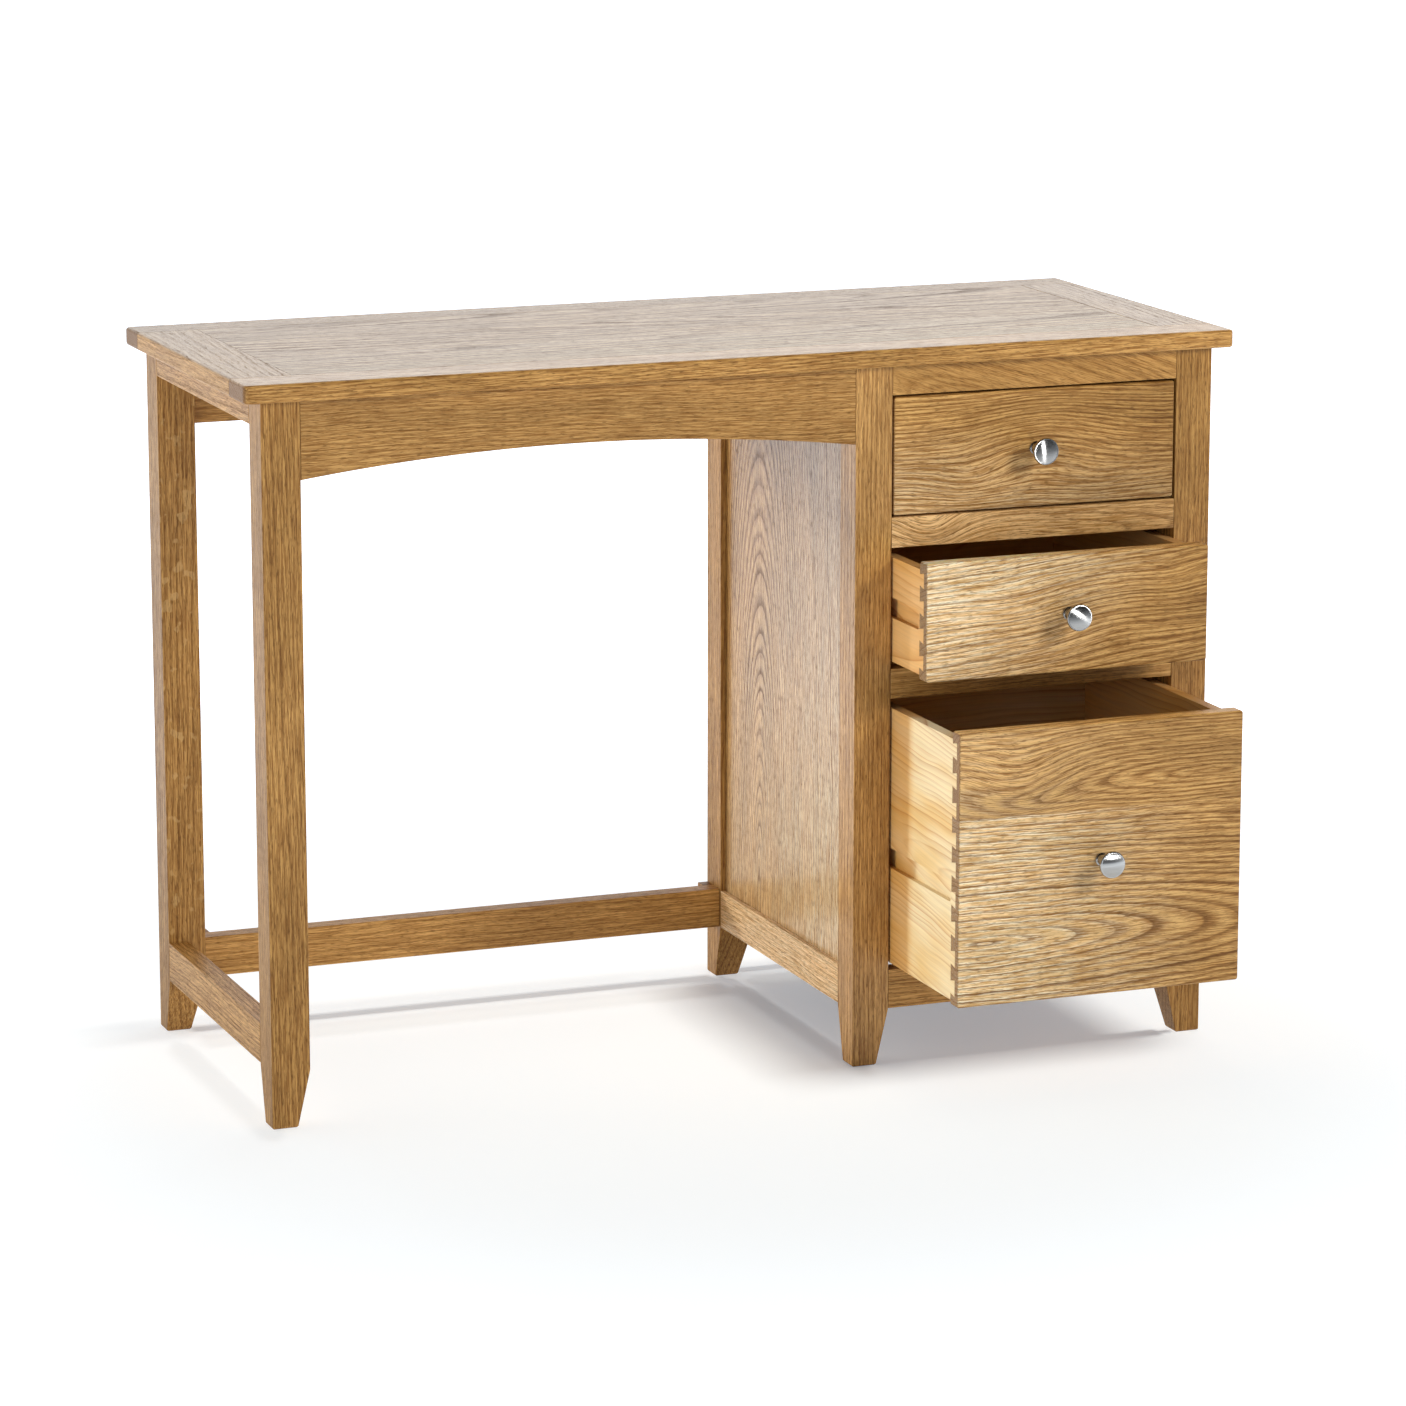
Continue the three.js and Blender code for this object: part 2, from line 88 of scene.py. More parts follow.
def direction(azimuth, elevation):
    """The unit vector from the object towards a viewer; azimuth 0 is in front, at -Y."""
    a, e = math.radians(azimuth), math.radians(elevation)
    return Vector((math.sin(a) * math.cos(e), -math.cos(a) * math.cos(e), math.sin(e)))


def make_camera(top_middle):
    data = bpy.data.cameras.new("camera")
    data.sensor_width = 36.0
    data.lens = CAMERA_LENS
    data.clip_end = 100.0
    camera = bpy.data.objects.new("camera", data)
    bpy.context.collection.objects.link(camera)
    back = direction(CAMERA_AZIMUTH, CAMERA_ELEVATION)
    camera.location = top_middle + AIM_FROM_TOP + back * CAMERA_DISTANCE
    camera.rotation_euler = (-back).to_track_quat("-Z", "Y").to_euler()
    bpy.context.scene.camera = camera


def make_area_light(name, aim, azimuth, elevation, distance, size, watts, color, reflected):
    data = bpy.data.lights.new(name, "AREA")
    data.shape = "RECTANGLE"
    data.size, data.size_y = size
    data.energy = watts
    data.color = color
    light = bpy.data.objects.new(name, data)
    bpy.context.collection.objects.link(light)
    back = direction(azimuth, elevation)
    light.location = aim + back * distance
    light.rotation_euler = (-back).to_track_quat("-Z", "Y").to_euler()
    light.visible_glossy = reflected
    light.visible_camera = False
    return light


def flagged(name, objects, state):
    """A group of objects that a light is kept on ("INCLUDE") or off ("EXCLUDE"), as with black card."""
    group = bpy.data.collections.new(name)
    for obj in objects:
        group.objects.link(obj)
    for member in group.collection_objects:
        member.light_linking.link_state = state
    return group


# ---------------------------------------------------------------- building materials

def srgb(red, green, blue):
    """A 0-255 colour as Blender's linear RGBA."""
    def linear(value):
        value /= 255.0
        return value / 12.92 if value <= 0.04045 else ((value + 0.055) / 1.055) ** 2.4
    return (linear(red), linear(green), linear(blue), 1.0)


def grey(value):
    return (value, value, value, 1.0)


class Graph:
    """A material's node tree, with shorthand for the nodes that the woods and metals use."""

    def __init__(self, name):
        self.material = bpy.data.materials.new(name)
        self.material.use_nodes = True
        self.nodes = self.material.node_tree.nodes
        self.links = self.material.node_tree.links
        self.shader = self.nodes["Principled BSDF"]

    @classmethod
    def of(cls, tree):
        """The same shorthand for a tree that exists already."""
        graph = cls.__new__(cls)
        graph.nodes, graph.links = tree.nodes, tree.links
        return graph

    def put(self, socket, value):
        if isinstance(value, bpy.types.NodeSocket):
            self.links.new(value, socket)
        else:
            socket.default_value = value

    def math(self, operation, a, b=0.0, c=0.0):
        node = self.nodes.new("ShaderNodeMath")
        node.operation = operation
        self.put(node.inputs[0], a)
        self.put(node.inputs[1], b)
        self.put(node.inputs[2], c)
        return node.outputs[0]

    def add(self, a, b):
        return self.math("ADD", a, b)

    def times(self, a, b):
        return self.math("MULTIPLY", a, b)

    def scaled(self, a, factor, offset=0.0):
        return self.math("MULTIPLY_ADD", a, factor, offset)

    def slope(self, distance, half, first, last):
        """A straight slope from first, at distance -half, to last, at distance half."""
        return self.scaled(distance, (last - first) / (2 * half), (first + last) / 2)

    def combine(self, x, y, z):
        node = self.nodes.new("ShaderNodeCombineXYZ")
        for socket, value in zip(node.inputs, (x, y, z)):
            self.put(socket, value)
        return node.outputs[0]

    def point(self, along, across, through, reach, girth, seed=0.0):
        """A place in a board for noise that is drawn out along it: reach mm long and girth mm thick."""
        thin = 1 / girth
        return self.scaled(along, 1 / reach), self.scaled(across, thin), self.scaled(through, thin, seed)

    def noise(self, x, y, z, detail=2.0, roughness=0.5):
        node = self.nodes.new("ShaderNodeTexNoise")
        node.inputs["Scale"].default_value = 1.0
        node.inputs["Detail"].default_value = detail
        node.inputs["Roughness"].default_value = roughness
        self.links.new(self.combine(x, y, z), node.inputs["Vector"])
        return node.outputs["Fac"]

    def ramp(self, value, stops):
        node = self.nodes.new("ShaderNodeValToRGB")
        elements = node.color_ramp.elements
        while len(elements) < len(stops):
            elements.new(0.5)
        for element, (at, color) in zip(elements, stops):
            element.position = at
            element.color = color
        self.links.new(value, node.inputs["Fac"])
        return node.outputs["Color"]

    def band(self, value, low, high, to_low=0.0, to_high=1.0):
        """A smooth step from to_low, at low, to to_high, at high."""
        node = self.nodes.new("ShaderNodeMapRange")
        node.interpolation_type = "SMOOTHSTEP"
        for key, number in (("From Min", low), ("From Max", high), ("To Min", to_low), ("To Max", to_high)):
            self.put(node.inputs[key], number)
        self.links.new(value, node.inputs["Value"])
        return node.outputs["Result"]

    def mix(self, factor, a, b, blend="MIX"):
        node = self.nodes.new("ShaderNodeMix")
        node.data_type = "RGBA"
        node.blend_type = blend
        node.clamp_result = True
        self.put(node.inputs[0], factor)
        self.put(node.inputs[6], a)
        self.put(node.inputs[7], b)
        return node.outputs[2]

    def bump(self, height, distance, strength=1.0):
        node = self.nodes.new("ShaderNodeBump")
        node.inputs["Strength"].default_value = strength
        node.inputs["Distance"].default_value = distance
        self.links.new(height, node.inputs["Height"])
        self.links.new(node.outputs["Normal"], self.shader.inputs["Normal"])


# ---------------------------------------------------------------- studio

def make_world():
    """A bright wall behind the desk, a dim ceiling, near darkness behind the camera; white to the camera."""
    world = bpy.data.worlds.new("studio")
    world.use_nodes = True
    graph = Graph.of(world.node_tree)
    background = graph.nodes["Background"]
    coords = graph.nodes.new("ShaderNodeTexCoord")
    split = graph.nodes.new("ShaderNodeSeparateXYZ")
    graph.links.new(coords.outputs["Generated"], split.inputs[0])
    rays = graph.nodes.new("ShaderNodeLightPath").outputs
    front = graph.scaled(rays["Is Glossy Ray"], FRONT_GLOW_REFLECTED - FRONT_GLOW, FRONT_GLOW)
    wall = graph.band(split.outputs["Y"], -0.3, 0.35, front, 1.0)
    ceiling = graph.band(split.outputs["Z"], 0.35, 0.8, CEILING_LOW, CEILING_HIGH)
    seen = rays["Is Camera Ray"]
    lighting = graph.times(graph.times(wall, ceiling), graph.scaled(seen, -1.0, 1.0))
    graph.put(background.inputs["Strength"], graph.add(lighting, seen))
    graph.put(background.inputs["Color"], graph.mix(seen, WALL_COLOR, (1.0, 1.0, 1.0, 1.0)))
    bpy.context.scene.world = world


def make_floor():
    half = FLOOR_SIZE / 2
    mesh = bpy.data.meshes.new("floor")
    corners = [(-half, -half, 0), (half, -half, 0), (half, half, 0), (-half, half, 0)]
    mesh.from_pydata(corners, [], [(0, 1, 2, 3)])
    floor = bpy.data.objects.new("floor", mesh)
    bpy.context.collection.objects.link(floor)
    graph = Graph("floor_white")
    coords = graph.nodes.new("ShaderNodeTexCoord")
    split = graph.nodes.new("ShaderNodeSeparateXYZ")
    graph.links.new(coords.outputs["Object"], split.inputs[0])
    x, y = split.outputs["X"], split.outputs["Y"]
    distance = graph.math("SQRT", graph.add(graph.times(x, x), graph.times(y, y)))
    rays = graph.nodes.new("ShaderNodeLightPath").outputs
    past_edge = graph.band(y, DARK_BEYOND - DARK_EDGE, DARK_BEYOND + DARK_EDGE, 1.0, 0.0)
    unlit = graph.times(rays["Is Glossy Ray"], past_edge)
    present = graph.scaled(unlit, -0.9, 1.0)
    glow = graph.band(distance, FLOOR_NEAR, FLOOR_FAR, FLOOR_GLOW_NEAR, FLOOR_GLOW_FAR)
    color = graph.combine(*(graph.times(present, part) for part in FLOOR_COLOR))
    graph.put(graph.shader.inputs["Base Color"], color)
    glow = graph.add(glow, graph.times(rays["Is Camera Ray"], FLOOR_LIFT))
    graph.put(graph.shader.inputs["Emission Strength"], graph.times(glow, present))
    graph.shader.inputs["Emission Color"].default_value = FLOOR_GLOW_COLOR
    graph.shader.inputs["Roughness"].default_value = 0.9
    graph.shader.inputs["Specular IOR Level"].default_value = 0.1
    mesh.materials.append(graph.material)
    return floor


# ---------------------------------------------------------------- wood

def board_coordinates(graph, node_name):
    """Where a point is in a board, for a material.

    Gives millimetres along, across and through it from its middle, half its size in the same order, and how
    far the face is end grain or looks upwards.
    """
    low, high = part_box(node_name)
    order = sorted(range(3), key=lambda i: low[i] - high[i])
    half = [(high[i] - low[i]) / 2 / MM for i in order]
    coords = graph.nodes.new("ShaderNodeTexCoord")
    split = graph.nodes.new("ShaderNodeSeparateXYZ")
    graph.links.new(coords.outputs["Object"], split.inputs[0])
    local = [graph.scaled(split.outputs[i], 1 / MM, -(low[i] + high[i]) / 2 / MM) for i in order]
    facing = graph.nodes.new("ShaderNodeSeparateXYZ")
    graph.links.new(coords.outputs["Normal"], facing.inputs[0])
    end_grain = graph.band(graph.math("ABSOLUTE", facing.outputs[order[0]]), 0.6, 0.85)
    upward = graph.band(facing.outputs["Z"], 0.5, 0.9)
    return local, half, end_grain, upward


def bent(graph, along, across, through, look):
    """Where a point is across the board once the grain's own waves, lean and swirls are taken out."""
    seed = look["seed"]
    slow = graph.noise(graph.scaled(along, 1 / look["sweep"]), graph.scaled(across, 1 / 90.0), seed)
    quick = graph.noise(*graph.point(along, across, through, 38.0, 17.0, seed + 7))
    result = graph.add(across, graph.scaled(slow, look["wander"] * 2, -look["wander"]))
    result = graph.add(result, graph.scaled(quick, look["ripple"] * 2, -look["ripple"]))
    if look["lean"]:
        result = graph.add(result, graph.scaled(along, -look["lean"]))
    for at_along, at_across, reach_along, reach_across, lift in look["swirls"]:
        u = graph.scaled(along, 1 / reach_along, -at_along / reach_along)
        v = graph.scaled(across, 1 / reach_across, -at_across / reach_across)
        distance = graph.add(graph.times(u, u), graph.times(v, v))
        hill = graph.math("EXPONENT", graph.scaled(distance, -1.0))
        result = graph.add(result, graph.scaled(hill, lift))
    return result


def ring_number(graph, along, side, through, look):
    """How many growth rings lie between a point and the middle of the trunk."""
    seed = look["seed"]
    pith_across, pith_depth = look["pith"]
    side = graph.add(side, -pith_across)
    depth = graph.add(graph.add(through, pith_depth), graph.scaled(along, look["tilt"]))
    radius = graph.math("SQRT", graph.add(graph.times(side, side), graph.times(depth, depth)))
    uneven = graph.noise(graph.scaled(radius, 1 / 14.0), seed + 31, 0.0, detail=1.0)
    radius = graph.add(radius, graph.scaled(uneven, look["spacing"] * 2))
    return graph.scaled(radius, 1 / look["spacing"])


# What a board's look can say. Lengths are in mm.
#   sweep, wander    length and height of the grain's slow waves, and ripple the height of its quick ones
#   lean, swirls     slope of the grain, and hills in it: (along, across, reach along, reach across, height)
#   pith, tilt       the middle of the trunk, across and in depth, and how it runs off along the board
#   spacing          width of a growth ring; figure and late are how strongly its two halves show
#   pores, fleck     strength of the pores and of the silvery flecks across the grain
#   fibre, streak    width and contrast of the fine fibres
#   tone, fall       brightness, and a painted falloff of light: how much of it is lost from one end of the board to the other
#   pale(_across)    a painted sheen: how much lighter and whiter the board is at its two ends, or edges
OAK_LOOK = {
    "sweep": 280.0, "wander": 7.0, "ripple": 0.6, "lean": 0.0, "swirls": (),
    "pith": (90.0, 110.0), "tilt": 0.0, "spacing": 4.2, "figure": 0.5, "late": 0.15,
    "pores": 0.6, "fleck": 0.0, "fibre": 1.05, "streak": 0.9, "tone": 1.0, "painted_falloff": 0.0,
    "painted_sheen": (0.0, 0.0), "painted_sheen_across": (0.0, 0.0),
}

OAK_GRAIN_DEPTH = 0.22 * MM
PINE_GRAIN_DEPTH = 0.12 * MM

OAK_LIGHT = srgb(213, 163, 93)
OAK_DARK = srgb(159, 110, 52)
OAK_LATE = srgb(235, 190, 119)
OAK_EARLY = srgb(122, 80, 34)
OAK_PORE = srgb(100, 64, 28)
OAK_FLECK = srgb(214, 172, 110)
OAK_END = srgb(124, 86, 47)
# The light and dark fibres of the painted sheen.
PAINTED_SHEEN_LIGHT = srgb(255, 240, 204)
PAINTED_SHEEN_DARK = srgb(198, 154, 96)


def oak_figure(graph, along, across, through, look):
    """One oak board's colour, its height for the bump, and how little it shines."""
    seed = look["seed"]
    side = bent(graph, along, across, through, look)
    ring = ring_number(graph, along, side, through, look)
    place = graph.math("FRACT", ring)
    early = graph.ramp(place, [
        (0.0, grey(0.05)), (0.06, grey(1.0)), (0.2, grey(0.8)),
        (0.36, grey(0.25)), (0.7, grey(0.06)), (1.0, grey(0.05)),
    ])
    late = graph.ramp(place, [(0.3, grey(0.0)), (0.5, grey(0.9)), (0.72, grey(1.0)), (0.95, grey(0.1))])
    year = graph.noise(graph.scaled(graph.math("FLOOR", ring), 3.7), seed, 0.0)
    early = graph.times(early, graph.band(year, 0.3, 0.7, 0.4, 1.0))

    # Pores are short dark dashes along the grain, crowded together in the early wood.
    dash = graph.noise(*graph.point(along, side, through, 9.0, 0.6, seed), detail=1.0)
    crowd = graph.scaled(early, -0.1, 0.58)
    pores = graph.band(dash, crowd, graph.add(crowd, 0.09))

    fibre = graph.noise(*graph.point(along, side, through, 34.0, look["fibre"], seed + 3), roughness=0.6)
    cloud = graph.noise(*graph.point(along, side, through, 170.0, 38.0, seed + 11), detail=3.0, roughness=0.6)

    light, dark = OAK_LIGHT, OAK_DARK
    # Painted sheen: the board turns lighter and whiter towards the ends and edges given in pale.
    if max(look["painted_sheen"] + look["painted_sheen_across"]) > 0:
        painted_sheen_amount = graph.add(
            graph.slope(along, look["half"][0], *look["painted_sheen"]),
            graph.slope(across, look["half"][1], *look["painted_sheen_across"]))
        painted_sheen_amount = graph.times(painted_sheen_amount, graph.band(cloud, 0.3, 0.65, 1.3, 0.65))
        light, dark = graph.mix(painted_sheen_amount, light, PAINTED_SHEEN_LIGHT), graph.mix(painted_sheen_amount, dark, PAINTED_SHEEN_DARK)
    contrast = 0.17 / look["streak"]
    streak = graph.band(fibre, 0.5 - contrast, 0.5 + contrast)
    color = graph.mix(streak, dark, light)
    if look["late"]:
        lateness = graph.times(graph.scaled(late, look["late"]), graph.scaled(streak, 0.6, 0.4))
        color = graph.mix(lateness, color, OAK_LATE)
    color = graph.mix(graph.scaled(early, look["figure"]), color, OAK_EARLY)
    if look["fleck"]:
        flecks = graph.noise(
            graph.add(graph.scaled(along, 1 / 16.0), graph.scaled(side, 1 / 9.0)),
            graph.add(graph.scaled(side, 1 / 14.0), graph.scaled(along, -1 / 90.0)),
            graph.scaled(through, 1 / 14.0, seed + 23), detail=2.0)
        color = graph.mix(graph.band(flecks, 0.6, 0.66, 0.0, look["fleck"]), color, OAK_FLECK)
    color = graph.mix(graph.scaled(pores, look["pores"]), color, OAK_PORE)
    tone = look["tone"]
    shade = graph.band(cloud, 0.3, 0.7, 0.86 * tone, 1.12 * tone)
    # A painted falloff of light, from one end of the board to the other.
    if look["painted_falloff"]:
        shade = graph.times(shade, graph.slope(along, look["half"][0], 1.0, 1.0 - look["painted_falloff"]))
    green = graph.times(shade, graph.scaled(shade, 0.15, 0.85))
    blue = graph.times(shade, graph.scaled(shade, 0.5, 0.5))  # darker wood is warmer too
    color = graph.mix(1.0, color, graph.combine(shade, green, blue), "MULTIPLY")
    grooves = graph.add(graph.scaled(pores, -0.9), graph.scaled(early, -0.25))
    height = graph.add(graph.scaled(fibre, 0.35), grooves)
    dull = graph.add(graph.scaled(early, 0.3), graph.scaled(streak, -0.2, 0.15))
    dull = graph.add(graph.scaled(pores, 0.6), dull)
    dull = graph.math("MAXIMUM", dull, 0.0)
    return color, height, graph.math("MINIMUM", dull, 1.0)


def oak(node_name, **changes):
    """Satin varnished oak, with changes to OAK_LOOK and, for the whole piece:

    gloss (or a pair, for its two edges) and gloss_upward: a clear coat, on all faces or on upward ones only
    painted_top_highlight: a painted highlight, how much brighter its upward faces are
    relief: how deep the grain is
    boards: [(edge in mm, look), ...] for the boards glued on beyond the first
    """
    draw = random.Random(node_name)
    look = dict(OAK_LOOK)
    look["seed"] = draw.uniform(0, 90)
    look["tone"] = draw.uniform(0.95, 1.05)
    look["pith"] = (draw.choice((-1, 1)) * draw.uniform(60, 140), draw.uniform(60, 160))
    look["tilt"] = draw.uniform(-0.05, 0.05)
    look["spacing"] = draw.uniform(3.4, 5.0)
    gloss = changes.pop("gloss", 0.0)
    gloss_upward = changes.pop("gloss_upward", False)
    painted_top_highlight = changes.pop("painted_top_highlight", 0.0)
    relief = changes.pop("relief", 1.0)
    boards = changes.pop("boards", ())
    look.update(changes)
    graph = Graph(node_name + "_oak")
    (along, across, through), half, end_grain, upward = board_coordinates(graph, node_name)
    look["half"] = half
    color, height, dull = oak_figure(graph, along, across, through, look)
    for number, (edge, other) in enumerate(boards):
        next_look = dict(look)
        next_look["seed"] = look["seed"] + 13.7 * (number + 1)
        next_look.update(other)
        beyond = graph.band(across, edge - 0.15, edge + 0.15)
        next_color, next_height, next_dull = oak_figure(graph, along, across, through, next_look)
        color = graph.mix(beyond, color, next_color)
        height = graph.mix(beyond, height, next_height)
        dull = graph.mix(beyond, dull, next_dull)
        seam = graph.band(graph.math("ABSOLUTE", graph.add(across, -edge)), 0.2, 0.6, 0.35, 0.0)
        color = graph.mix(seam, color, OAK_PORE)
    # A painted highlight on the upward faces.
    if painted_top_highlight:
        lift = graph.scaled(upward, painted_top_highlight, 1.0)
        color = graph.mix(1.0, color, graph.combine(lift, lift, lift), "MULTIPLY")
    color = graph.mix(graph.scaled(end_grain, 0.75), color, OAK_END)

    shader = graph.shader
    graph.put(shader.inputs["Base Color"], color)
    graph.put(shader.inputs["Roughness"], graph.scaled(dull, 0.3, 0.38))
    shader.inputs["IOR"].default_value = 1.5
    shader.inputs["Specular IOR Level"].default_value = 0.3
    if isinstance(gloss, tuple):
        gloss = graph.slope(across, half[1], *gloss)
    coat = graph.times(graph.scaled(dull, -1.0, 1.0), gloss)
    graph.put(shader.inputs["Coat Weight"], graph.times(coat, upward) if gloss_upward else coat)
    shader.inputs["Coat Roughness"].default_value = 0.22
    graph.bump(height, OAK_GRAIN_DEPTH, 0.6 * relief)
    return graph.material


# As OAK_LOOK, with heart for a painted warm shade, how orange a board is made where it stands in shade lit by
# light bounced off the oak, painted_warm_shade_from for where along it that turns to WARM_SHADE_BEYOND, and
# edge for the brightness of its upward faces, below 1 a painted shade on them.
PINE_LOOK = {
    "sweep": 200.0, "wander": 12.0, "ripple": 0.6, "lean": 0.0, "swirls": (), "pith": (20.0, 45.0),
    "tilt": 0.05, "spacing": 6.5, "tone": 1.0, "painted_falloff": 0.0, "painted_warm_shade": 0.0, "painted_warm_shade_from": None, "edge": 1.0,
}
WARM_SHADE_BEYOND = 0.6
WARM_SHADE_FADE = 12.0  # half the length over which it turns

PINE_LIGHT = srgb(250, 234, 196)
PINE_WARM = srgb(240, 208, 148)
# The orange of the painted warm shade.
PINE_SHADE_ORANGE = srgb(222, 156, 66)
PINE_LINE = srgb(184, 112, 40)


def pine(node_name, **changes):
    """Sealed pine, with thin orange late-wood lines and no pores."""
    draw = random.Random(node_name)
    look = dict(PINE_LOOK)
    look["seed"] = draw.uniform(0, 90)
    look["pith"] = (draw.uniform(-50, 50), draw.uniform(30, 60))
    look["tilt"] = draw.choice((-1, 1)) * draw.uniform(0.04, 0.1)
    look["spacing"] = draw.uniform(5.5, 8.0)
    look.update(changes)
    seed = look["seed"]
    graph = Graph(node_name + "_pine")
    (along, across, through), half, end_grain, upward = board_coordinates(graph, node_name)
    side = bent(graph, along, across, through, look)
    ring = ring_number(graph, along, side, through, look)
    line = graph.ramp(graph.math("FRACT", ring), [
        (0.0, grey(0.0)), (0.4, grey(0.08)), (0.78, grey(0.5)),
        (0.88, grey(1.0)), (0.94, grey(0.15)), (1.0, grey(0.0)),
    ])
    grouped = graph.noise(graph.scaled(along, 1 / 260.0), graph.scaled(side, 1 / 30.0), seed + 17)
    line = graph.times(line, graph.band(grouped, 0.4, 0.6, 0.25, 1.0))
    fibre = graph.noise(*graph.point(along, side, through, 90.0, 1.8, seed), detail=4.0)
    cloud = graph.noise(graph.scaled(along, 1 / 150.0), graph.scaled(side, 1 / 40.0), seed + 5)
    color = graph.mix(graph.band(cloud, 0.35, 0.65), PINE_LIGHT, PINE_WARM)
    # A painted warm shade: the pine turns orange where it stands in shade lit by light bounced off the oak.
    painted_warm_shade = look["painted_warm_shade"]
    turns_at = look["painted_warm_shade_from"]
    if turns_at is not None:
        painted_warm_shade = graph.band(along, turns_at - WARM_SHADE_FADE, turns_at + WARM_SHADE_FADE, painted_warm_shade, WARM_SHADE_BEYOND)
    color = graph.mix(painted_warm_shade, color, PINE_SHADE_ORANGE)
    color = graph.mix(graph.scaled(line, 0.65), color, PINE_LINE)
    shade = graph.band(fibre, 0.3, 0.7, 0.92 * look["tone"], 1.04 * look["tone"])
    # Upward faces are scaled by edge: below 1, a painted shade on them.
    shade = graph.times(shade, graph.scaled(upward, look["edge"] - 1.0, 1.0))
    # A painted falloff of light, from one end of the board to the other.
    if look["painted_falloff"]:
        shade = graph.times(shade, graph.slope(along, half[0], 1.0, 1.0 - look["painted_falloff"]))
    color = graph.mix(1.0, color, graph.combine(shade, shade, shade), "MULTIPLY")
    color = graph.mix(graph.scaled(end_grain, 0.5), color, PINE_LINE)
    graph.put(graph.shader.inputs["Base Color"], color)
    graph.put(graph.shader.inputs["Roughness"], graph.band(fibre, 0.3, 0.7, 0.42, 0.55))
    graph.shader.inputs["IOR"].default_value = 1.48
    graph.bump(graph.add(fibre, graph.scaled(line, -0.4)), PINE_GRAIN_DEPTH, 0.5)
    return graph.material


# ---------------------------------------------------------------- metal

NICKEL_DARK = srgb(170, 169, 167)
NICKEL_LIGHT = srgb(196, 195, 193)


def nickel(name, brush_turn):
    """Satin nickel, brushed in straight lines across its face at brush_turn degrees."""
    graph = Graph(name)
    coords = graph.nodes.new("ShaderNodeTexCoord")
    mapping = graph.nodes.new("ShaderNodeMapping")
    mapping.inputs["Rotation"].default_value = (0.0, math.radians(brush_turn), 0.0)
    mapping.inputs["Scale"].default_value = (60.0, 60.0, 2200.0)
    graph.links.new(coords.outputs["Object"], mapping.inputs["Vector"])
    split = graph.nodes.new("ShaderNodeSeparateXYZ")
    graph.links.new(mapping.outputs["Vector"], split.inputs[0])
    brushed = graph.noise(*split.outputs, detail=2.0)
    color = graph.ramp(brushed, [(0.3, NICKEL_DARK), (0.7, NICKEL_LIGHT)])
    graph.put(graph.shader.inputs["Base Color"], color)
    graph.shader.inputs["Metallic"].default_value = 1.0
    graph.put(graph.shader.inputs["Roughness"], graph.band(brushed, 0.3, 0.7, 0.2, 0.25))
    graph.shader.inputs["Anisotropic"].default_value = 1.0
    turn = math.radians(brush_turn)
    to_world = graph.nodes.new("ShaderNodeVectorTransform")
    to_world.vector_type = "VECTOR"
    to_world.convert_from, to_world.convert_to = "OBJECT", "WORLD"
    across_lines = (-math.sin(turn), 0.0, math.cos(turn))  # the way highlights are drawn out
    to_world.inputs[0].default_value = across_lines
    graph.links.new(to_world.outputs[0], graph.shader.inputs["Tangent"])
    return graph.material


KNOB_SEGMENTS = 96


def arc(centre, radius, start, end, steps):
    """Points on a circle in a profile, from one angle to another in degrees."""
    points = []
    for k in range(steps + 1):
        a = math.radians(start + (end - start) * k / steps)
        points.append((centre[0] + radius * math.cos(a), centre[1] + radius * math.sin(a)))
    return points


def knob_profile(head_radius, proud):
    """Radius and distance out from the drawer, in mm: base ring, waisted neck, rounded rim, shallow dome."""
    base, base_edge, base_top = 7.1, 0.5, 2.2
    neck, neck_steps = 4.7, 28
    rim_back, rim_front, dome, dome_steps = 1.5, 1.1, 1.8, 24
    back_of_head = proud - dome - 4.1
    profile = [(0.0, 0.0), (base - 0.3, 0.0)]
    profile += arc((base - base_edge, base_edge), base_edge, -90, 0, 4)
    profile += arc((base - base_edge, 1.5), base_edge, 0, 90, 4)
    for k in range(neck_steps + 1):
        t = k / neck_steps
        flare = t ** 5 * (head_radius - 2.4 - neck) + (1 - t) ** 4 * (base - 1.4 - neck)
        profile.append((neck + flare, base_top + t * (back_of_head - base_top)))
    profile += arc((head_radius - rim_back, back_of_head + rim_back), rim_back, -80, 0, 8)
    dome_edge = head_radius - rim_front
    profile += arc((dome_edge, proud - dome - 0.9), rim_front, 0, 78, 8)
    sphere = (dome_edge ** 2 + dome ** 2) / (2 * dome)
    widest = math.asin((dome_edge - 0.3) / sphere)
    for k in range(dome_steps, 0, -1):
        a = widest * k / dome_steps
        profile.append((sphere * math.sin(a), proud - sphere * (1 - math.cos(a))))
    return profile + [(0.0, proud)]


def turned(name, centre, profile, material):
    """A closed body turned about an axis along Y: profile is (radius, distance out from the drawer) in mm."""
    vertices, faces = [], []
    rows = []
    for radius, out in profile:
        if radius == 0.0:
            rows.append([len(vertices)])
            vertices.append((centre[0], centre[1] - out * MM, centre[2]))
            continue
        rows.append(list(range(len(vertices), len(vertices) + KNOB_SEGMENTS)))
        for k in range(KNOB_SEGMENTS):
            a = 2 * math.pi * k / KNOB_SEGMENTS
            x, z = radius * MM * math.cos(a), radius * MM * math.sin(a)
            vertices.append((centre[0] + x, centre[1] - out * MM, centre[2] + z))
    for first, second in zip(rows, rows[1:]):
        for k in range(KNOB_SEGMENTS):
            n = (k + 1) % KNOB_SEGMENTS
            corners = [
                first[k % len(first)], second[k % len(second)],
                second[n % len(second)], first[n % len(first)],
            ]
            corners = list(dict.fromkeys(corners))  # three are left where a row is the one point on the axis
            if len(corners) > 2:
                faces.append(corners)
    mesh = bpy.data.meshes.new(name)
    mesh.from_pydata(vertices, [], faces)
    mesh.validate()
    for polygon in mesh.polygons:
        polygon.use_smooth = True
    mesh.materials.append(material)
    piece = bpy.data.objects.new(name, mesh)
    bpy.context.collection.objects.link(piece)
    return piece


